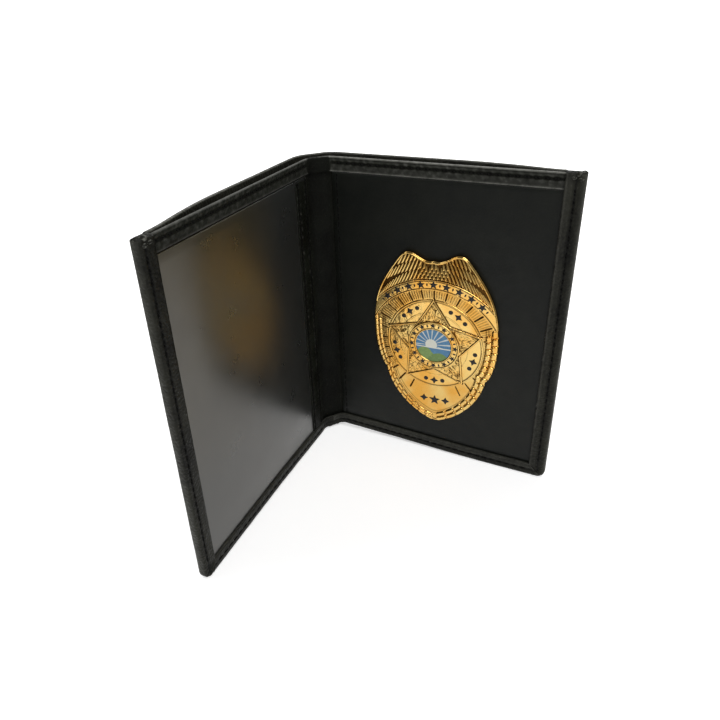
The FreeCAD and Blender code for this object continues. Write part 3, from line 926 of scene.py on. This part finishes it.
def outline_points():
    """The plate's outline about the seal, in order of angle."""
    found = {}
    for vertex in frame["nodes"]["badge_plate"].data.vertices:
        p = vertex.co / MM
        if abs(fold - p.y - badge_seat - plate_top) < 0.02:
            x, y = turned(p.x - badge_x, p.z - badge_z, -badge_turn)
            found[round(atan2(y, x), 4)] = (x, y)
    return [found[key] for key in sorted(found)]


OUTLINE = outline_points()
OUTLINE_ANGLES = [atan2(y, x) for x, y in OUTLINE]


def edge_radius(angle):
    """Distance from the seal to the plate's outline."""
    angle = atan2(sin(angle), cos(angle))
    after = np.searchsorted(OUTLINE_ANGLES, angle) % len(OUTLINE)
    a, b = OUTLINE[after - 1], OUTLINE[after]
    x, y = polar(angle, 1)
    return (a[0] * b[1] - a[1] * b[0]) / (x * (b[1] - a[1]) - y * (b[0] - a[0]))


def room(x, y):
    """How far inside the plate's outline a point lies."""
    return edge_radius(atan2(y, x)) - hypot(x, y)


def held_inside(x, y, margin):
    """A point drawn towards the seal until it is inside the outline."""
    distance = max(hypot(x, y), 0.01)
    share = min(1, 1 + (room(x, y) - margin) / distance)
    return x * share, y * share


class Relief(Shape):
    """A struck piece of the badge."""

    def point(self, x, y, h, cavity=0):
        return super().point(x, y, h, min(1, max(0, cavity)))

    def turned_section(self, steps, section):
        """Closed rings from a section of (radius, height, cavity)."""
        return self.sheet(section, turn_steps(steps),
                          lambda at, angle: (*polar(angle, at[0]), *at[1:]), rings=True)

    def fix(self, name, node, slot="gold_metal"):
        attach(self.piece(name, slot, node, where=on_badge), "right_panel")


def ray_relief(x, y):
    """Rise and cavity of the rays: fine flutes with a deep line at every fourth."""
    angle = degrees(atan2(y, x))
    distance = hypot(x, y)
    within = smooth((distance - disc_radius - 0.2) / 0.5)
    within *= smooth((banner_inner - 0.3 - hypot(x, y - banner_centre_y)) / 0.5)
    if y < 0:
        within *= 1 - smooth((distance - disc_radius - 4.5) / 0.4)
    flute = 0.5 - 0.5 * cos(radians(angle) * 140)
    pitch = 360 / 28
    above = smooth((y + 9) / 5)
    tick = (1 - above) * smooth((abs(x) - 6.5) / 0.5)
    deep = bell(((angle + 0.5 * pitch) % pitch - 0.5 * pitch) / 0.5) * max(above, tick)
    return (within * (0.07 * flute * above - 0.3 * deep),
            within * (0.22 * (1 - flute) * above + deep))


def plate_piece():
    """The plate: a beaded edge, the engraved rays and the ground under the rest."""
    shape = Relief()
    edges = [(angle, edge_radius(angle)) for angle in turn_steps(720)]
    rim = ((0.35, 0, 0.6), (0.05, 0.12, 0.5), (0, 0.4, 0.25), (0, 0.95, 0.1), (0.1, 1.28, 0),
           (0.34, plate_top, 0), (0.62, 1.33, 0.3), (0.8, 1.22, 0.9))

    def rim_point(at, place_on_edge):
        angle, edge = place_on_edge
        return (*polar(angle, edge - at[0]), *at[1:])

    def ground_point(share, place_on_edge):
        angle, edge = place_on_edge
        x, y = polar(angle, (edge - 1) * share)
        rise, shade = ray_relief(x, y)
        under_wings = smooth((hypot(x, y - banner_centre_y) - banner_outer) / 0.5)
        under_wings *= smooth((y - banner_foot) / 0.5)
        inset = edge - hypot(x, y)
        line = bell((inset - 4.1) / 0.2) * smooth((-y - 14) / 2)
        beside = bell((inset - 3.6) / 0.2) + bell((inset - 4.6) / 0.2)
        beside *= smooth((banner_foot - y) / 2)
        return (x, y, plate_top - 0.12 + rise + 0.16 * line,
                0.1 + shade + 0.6 * under_wings + 0.35 * beside)

    outer = shape.sheet(rim, edges, rim_point, rings=True)
    ground = shape.sheet(spread(1, 0.30, 0.0085), edges, ground_point, rings=True)
    shape.grid([ring + ring[:1] for ring in (outer[-1], ground[0])])
    shape.faces += [outer[0], ground[-1]]
    shape.fix("badge_struck_plate", "badge_plate")


def feather(shape, x, y, angle, length, width, root_h, tip_h):
    """One feather: a rounded tip, a ridge along its middle and dark sides."""
    half_section = ((0.15, 0.04), (0.5, -0.05), (0.85, -0.2), (1, -0.45))
    section = [(-across, edge) for across, edge in half_section[::-1]] + list(half_section)

    def point(t, at):
        rounding = sqrt(1 - (max(0, t - 0.74) / 0.26) ** 2) if t < 1 else 0
        half = width / 2 * (0.75 + 0.25 * smooth(t * 3)) * rounding
        h = root_h + (tip_h - root_h) * smooth(t * 1.15) - (0.35 if t == 1 else 0)
        right, up = turned(half * at[0], -length * t, angle)
        return (*held_inside(x + right, y + up, 0.6), h + at[1],
                1.9 * max(0, -at[1]) + 0.2 * (1 - smooth(t * 1.8)))

    shape.sheet((0, 0.12, 0.28, 0.44, 0.6, 0.74, 0.86, 0.94, 0.985, 1), section, point)


def wing_feathers(shape, side):
    """Rows of long slanted feathers, the upper ones lying over the lower ones."""
    for level, (tip_radius, length) in enumerate(((30.1, 5), (33.7, 5), (37.2, 4.6))):
        step = degrees(1.62 / tip_radius)
        for k in range(32):
            bearing = radians(9 + step * (k + 0.5 * (level % 2)))
            tip = clock(side * bearing, tip_radius, banner_centre_y)
            slant = side * radians(16 + 0.75 * abs(tip[0]))
            root = [a + b for a, b in zip(tip, turned(0, length, slant))]
            middle = [a * 0.7 + b * 0.3 for a, b in zip(tip, root)]
            if room(*middle) >= 0.5:
                feather(shape, *root, slant, length, 1.12, plate_top + 0.16 + 0.06 * level,
                        plate_top + 0.42 + 0.1 * level)


def body_scales(shape):
    """Small overlapping scales between the wings."""
    for level in range(7):
        y = 29.2 + 1.25 * level
        for k in range(-4, 5):
            x = 1.35 * (k + 0.5 * (level % 2))
            if abs(x) <= 5.2 and room(x, y) >= 0.7:
                feather(shape, x, y, radians(3 * x), 2.2, 1.4, plate_top + 0.1, plate_top + 0.6)


def bead(shape, start, end, step_deg, inset, radius, centre_h, pinch=None, flatness=1):
    """A round bead that follows the outline between two angles."""
    def point(angle, turn):
        thick = radius * (pinch(angle) if pinch else 1)
        a = radians(turn)
        return (*polar(angle, edge_radius(angle) - inset + thick * cos(a)),
                centre_h + flatness * thick * sin(a), 0.9 - 1.3 * sin(a))

    shape.sheet(spread(start, end, radians(step_deg)), range(-20, 201, 20), point)


def wings_piece():
    """Both wings, the scaled body between them and the bead round their top."""
    shape = Relief()
    body_scales(shape)
    for side in (RIGHT, LEFT):
        wing_feathers(shape, side)
    rim = atan2(16, 23)
    bead(shape, rim, pi - rim, 0.5, 0.45, 0.4, plate_top + 0.3)
    shape.fix("badge_feathered_wings", "badge_wings")


def arc_end(radius):
    """How far round the banner's centre an arc runs before it leaves the outline."""
    near, far = radians(20), radians(85)
    for _ in range(24):
        half = (near + far) / 2
        inside = room(*clock(half, radius, banner_centre_y)) > 0.25
        near, far = (half, far) if inside else (near, half)
    return near


def banner_piece():
    """The curved band: slightly domed, a raised rim along both edges."""
    def point(at, share):
        radius, end = at
        off = abs(radius - banner_middle)
        rim, groove = bell((off - 1.72) / 0.16), bell((off - 1.42) / 0.12)
        fall, last = smooth((off - 1.86) / 0.14), smooth(1 - (1 - abs(share)) * end / 0.012)
        x, y = clock(end * share, radius, banner_centre_y)
        h = banner_top - 0.10 - 0.02 * off + 0.16 * rim - 0.07 * groove - 0.5 * fall
        wave = 0.025 * noise.noise(Vector((x * 0.35, y * 0.35, 4)))
        return x, y, h + wave - 0.4 * last, 0.75 * groove + 0.9 * fall + 0.5 * last

    shape = Relief()
    arcs = [(radius, arc_end(radius)) for radius in spread(banner_inner, banner_outer, 0.1)]
    shape.sheet(arcs, spread(-1, 1, 1 / 90), point)
    shape.fix("badge_curved_banner", "badge_banner")


def roll(shape, start, end, inset, radius):
    """One roll of the border, pinched in at both ends."""
    def pinch(angle):
        t = min(abs(angle - start), abs(angle - end)) / abs(end - start)
        return 0.3 + 0.7 * sqrt(smooth(t * 6))

    bead(shape, start, end, 0.4, inset, radius, plate_top - 0.15, pinch, 0.72)


def border_piece():
    """The border of the lower sides: two rows of rolls, thick on the right, thin on the left."""
    shape = Relief()
    top = atan2(banner_foot - 0.4, 24.2)
    tip = pi / 2 - 0.02
    for side, thick, step in ((RIGHT, 1.25, 0.13), (LEFT, 0.82, 0.10)):
        for row in (0, 1):
            ends = spread(-top + 0.5 * step * row, tip, step)
            for a, b in zip(ends, ends[1:]):
                radius = thick - 0.3 * (thick - 0.6) * (a + top) / (tip + top)
                start, end = (-a, -b) if side == RIGHT else (pi + a, pi + b)
                roll(shape, start, end, radius * (1 + 1.9 * row), radius)
    shape.fix("badge_rope_border", "badge_border")


def disc_piece():
    """The smooth field behind the star, with fine raised lines near its edge."""
    shape = Relief()
    section = [(disc_radius, plate_top - 0.15, 0.9)]
    for radius in spread(disc_radius, 8, 0.11)[1:]:
        edge = bell((radius - disc_radius + 0.42) / 0.17)
        line = bell((radius - 13.4) / 0.13)
        trough = bell((radius - disc_radius + 0.85) / 0.16)
        section.append((radius, disc_top - 0.08 + 0.12 * edge + 0.06 * line - 0.05 * trough,
                        0.5 * trough + 0.25 * bell((radius - 13.05) / 0.15)))
    shape.turned_section(240, section)
    shape.fix("badge_round_field", "badge_disc")


def star_outline(radius, waist, points, per_edge):
    """A star's outline, from its top point on, evenly spaced along each edge."""
    corners = [polar(pi / 2 + pi * k / points, waist if k % 2 else radius)
               for k in range(2 * points)]
    return [tuple(p + (q - p) * m / per_edge for p, q in zip(a, b))
            for a, b in zip(corners, corners[1:] + corners[:1]) for m in range(per_edge)]


def leaf_relief(x, y):
    """Small leaves and scrolls: curled ridges of about a millimetre."""
    swirl = noise.noise(Vector((x * 0.55, y * 0.55, 1))) * 2.4
    ridged = 1 - abs(noise.noise(Vector((x * 0.95 + swirl, y * 0.95 - swirl, 7)))) * 3.2
    fine = noise.noise(Vector((x * 2.6, y * 2.6 + swirl, 3)))
    return max(-0.4, ridged) * 0.7 + 0.3 * fine


def star_piece():
    """The star: raised edges round a ground of small leaves."""
    per_edge = 56
    outline = star_outline(star_radius, star_waist, 5, per_edge)
    tip, waist = outline[0], outline[per_edge]
    edge_distance = abs(tip[0] * waist[1] - tip[1] * waist[0]) / dist(tip, waist)

    def point(share, at):
        if share is None:
            return *at, plate_top - 0.1, 1
        x, y = at[0] * share, at[1] * share
        inset = edge_distance * (1 - share)
        rim, trough = bell((inset - 0.4) / 0.3), bell((inset - 0.82) / 0.16)
        inside, fall = smooth((inset - 0.7) / 0.3), 1 - smooth(inset / 0.12)
        leaves = leaf_relief(x, y) * inside
        h = star_top - 0.2 + 0.3 * rim + 0.22 * leaves - 0.3 * fall - 0.06 * trough
        return x, y, h, 0.9 * inside * (0.3 - leaves) + 0.8 * fall + 0.5 * trough

    shape = Relief()
    shares = [None, 1, 0.994, 0.985, 0.972, 0.958, 0.944, 0.93, 0.915]
    shape.sheet(shares + spread(0.9, 0.36, 0.018), outline, point, rings=True)
    shape.fix("badge_leafed_star", "badge_star")


def ring_piece():
    """The seal's frame: a flat band between two beads."""
    shape = Relief()
    section = [(ring_radius, star_top - 0.35, 0.9), (ring_radius, ring_top - 0.25, 0.2)]
    for radius in spread(ring_radius - 0.04, enamel_radius + 0.05, 0.09):
        in_from, out_from = radius - ring_radius, radius - enamel_radius
        outer, inside = bell((in_from + 0.32) / 0.2), bell((out_from - 0.3) / 0.16)
        trough = bell((in_from + 0.66) / 0.12) + bell((out_from - 0.58) / 0.1)
        h = ring_top - 0.08 + 0.14 * outer + 0.12 * inside - 0.05 * trough
        section.append((radius, h, 0.6 * trough))
    section.append((enamel_radius - 0.02, enamel_top - 0.4, 1))
    shape.turned_section(180, section)
    shape.fix("seal_beaded_ring", "seal_ring")


def enamel_piece():
    """The domed enamel of the seal."""
    shape = Relief()
    section = [(radius, enamel_top - 0.16 * (radius / enamel_radius) ** 3, 0)
               for radius in spread(enamel_radius + 0.1, 0.12, 0.3)]
    rows = shape.turned_section(96, section)
    shape.faces.append(rows[-1])
    shape.fix("seal_domed_enamel", "seal_enamel", "seal_colours")


def oval(width, height):
    return [(width * cos(a), height * sin(a)) for a in turn_steps(20)]


def mark(shape, outline, x, y, turn, ground, proud):
    """A small filled motif: upright sides, a rounded edge and a domed face."""
    def point(at, corner):
        right, up = turned(corner[0] * at[0], corner[1] * at[0], turn)
        return x + right, y + up, ground + at[1]

    section = ((1.04, -0.3), (1, proud - 0.04), (0.9, proud), (0.6, proud + 0.03),
               (0.05, proud + 0.045))
    shape.faces.append(shape.sheet(section, outline, point, rings=True)[-1])


def marks_round(shape, bearings, outlines, radius, centre_y, ground, proud):
    """Marks at bearings in degrees round a centre, their outlines taken in turn."""
    for k, bearing in enumerate(bearings):
        a = radians(bearing)
        mark(shape, outlines[k % len(outlines)], *clock(a, radius, centre_y), -a, ground, proud)


def marks_pieces():
    """Black enamel stars on the banner and the seal's frame, and dots on the fields."""
    banner, fields, ring = Relief(), Relief(), Relief()
    marks_round(banner, range(-45, 46, 5), (oval(0.3, 0.6), star_outline(1.7, 0.78, 5, 4)),
                banner_middle, banner_centre_y, banner_top, 0.02)
    marks_round(fields, [72 * k + off for k in range(5) for off in (24, 36, 48)],
                (oval(0.85, 0.85), star_outline(1.65, 0.8, 4, 5), oval(0.85, 0.85)),
                field_mark_radius, 0, disc_top, 0.03)
    for x in (0, -4.4, 4.4):
        outline = star_outline(1.6, 0.8, 4, 5) if x else star_outline(2.2, 1, 5, 4)
        mark(fields, outline, x, -25.4 + 0.08 * abs(x), 0, plate_top, 0.06)
    marks_round(ring, range(0, 360, 15), (star_outline(1.2, 0.55, 5, 4), oval(0.3, 0.65)),
                ring_mark_radius, 0, ring_top, 0.02)
    for shape, node in ((banner, "banner"), (fields, "field"), (ring, "ring")):
        shape.fix(node + "_enamel_marks", node + "_marks", "black_enamel")


# --- Stage
def aim(made, where, ahead, roll_angle=0):
    """Place a camera or lamp, and turn it to look along ahead."""
    made.location = where
    made.rotation_mode = "QUATERNION"
    made.rotation_quaternion = Quaternion(ahead, roll_angle) @ ahead.to_track_quat("-Z", "Y")
    bpy.context.scene.collection.objects.link(made)


def camera():
    """The camera at the photograph's view."""
    yaw, pitch, roll_angle = (radians(a) for a in (-26.787, 27.442, 2.653))
    focal_px, frame_px = 615.1, 720
    data = bpy.data.cameras.new("camera")
    data.sensor_width = 36
    data.lens = focal_px / frame_px * data.sensor_width
    data.shift_x, data.shift_y = 19.8 / frame_px, -44.5 / frame_px
    data.clip_start, data.clip_end = 0.01, 20
    made = bpy.data.objects.new("camera", data)
    ahead = Vector((sin(yaw) * cos(pitch), cos(yaw) * cos(pitch), -sin(pitch)))
    aim(made, Vector((106.45, -196.86, 170.25)) * MM, ahead, roll_angle)
    bpy.context.scene.camera = made


def lamp(name, where, size, watts):
    """A soft square lamp that faces the object."""
    data = bpy.data.lights.new(name, "AREA")
    data.size = size
    data.energy = watts
    target = Vector((0.03, -0.03, 0.06))
    aim(bpy.data.objects.new(name, data), where, target - Vector(where))


def world():
    """A white background; for all else a pale horizon under a dim ceiling."""
    made = bpy.data.worlds.new("studio")
    made.use_nodes = True
    nodes = Nodes(made.node_tree)
    up = nodes.node("SeparateXYZ", {0: nodes.node("TexCoord", out="Generated")}, out="Z")
    dim = nodes.ramp(up, 0, 0.65, 0.75, 0.2)
    strength = nodes.maths("MAXIMUM", dim, nodes.node("LightPath", out="Is Camera Ray"))
    background = made.node_tree.nodes["Background"]
    nodes.give(background.inputs["Color"], (1, 1, 1))
    nodes.give(background.inputs["Strength"], strength)
    bpy.context.scene.world = made


def floor_material():
    """Pale matt floor, white where it is seen and dimmer far off in a reflection."""
    mat = Finish("pale_floor", over_frame=True, Roughness=0.9, Specular_IOR_Level=0,
                 Emission_Color=(1, 1, 1))
    distance = mat.node("VectorMath", {0: mat.where}, out="Value", operation="LENGTH")
    path = mat.node("LightPath").node.outputs
    in_gloss = mat.maths("MAXIMUM", path["Is Glossy Ray"], path["Is Transmission Ray"])
    near = mat.ramp(distance, 0.10, 0.42, 1, 0.3)
    dimmed = mat.times(in_gloss, mat.minus(1, near))
    pale = mat.mix(mat.noise(9, 2), (0.80, 0.80, 0.80), (0.82, 0.82, 0.82))
    seen = mat.times(path["Is Camera Ray"], mat.ramp(distance, 0.25, 0.7, 0.45, 1))
    reflected = mat.times(in_gloss, mat.times(near, 0.4))
    mat.set(Base_Color=mat.mix(dimmed, pale, (0.02, 0.02, 0.02)),
            Emission_Strength=mat.plus(seen, reflected))
    return mat.material


def floor():
    """A pale floor that keeps the object's shadow and rises far off, in metres."""
    def point(share, angle):
        distance = 2.2 * share ** 1.5
        return *polar(angle, distance), 0.9 * smooth((distance - 0.9) / 1.3) ** 2

    shape = Shape()
    rings = shape.sheet(spread(1 / 24, 1, 1 / 24), turn_steps(96), point, rings=True)
    shape.faces.append(rings[0])
    shape.build("floor", floor_material(), where=lambda *metres: metres)


# --- Putting it together
for side in (RIGHT, LEFT):
    cover_piece(side)
    lining_piece(side)
for make in (badge_panel_piece, window_piece, binding_piece, seams, plate_piece, wings_piece,
             banner_piece, border_piece, disc_piece, star_piece, ring_piece, enamel_piece,
             marks_pieces, camera, world, floor):
    make()
dress_node("badge_board", plain("board", ((0.10, 0.095, 0.085), (0.17, 0.16, 0.14)),
                                (900, 4), (0.8, 0.95), (0.06,), Specular_IOR_Level=0.2))
for node, name, tones, rough in (
        ("badge_posts", "post_brass", ((0.50, 0.34, 0.13), (0.62, 0.44, 0.18)), 0.3),
        ("post_nuts", "nut_steel", ((0.42, 0.42, 0.41), (0.56, 0.56, 0.55)), 0.28)):
    dress_node(node, plain(name, tones, (2500, 3), (rough, rough + 0.14), (0.01, 0.5), Metallic=1))
lamp("key_lamp", (0.6, -0.5, 1.1), 0.8, 11)
lamp("fill_lamp", (-0.9, -0.4, 0.8), 0.8, 4)
lamp("back_lamp", (-0.2, 0.9, 1), 0.7, 9)

bpy.context.scene.view_settings.view_transform = "Standard"
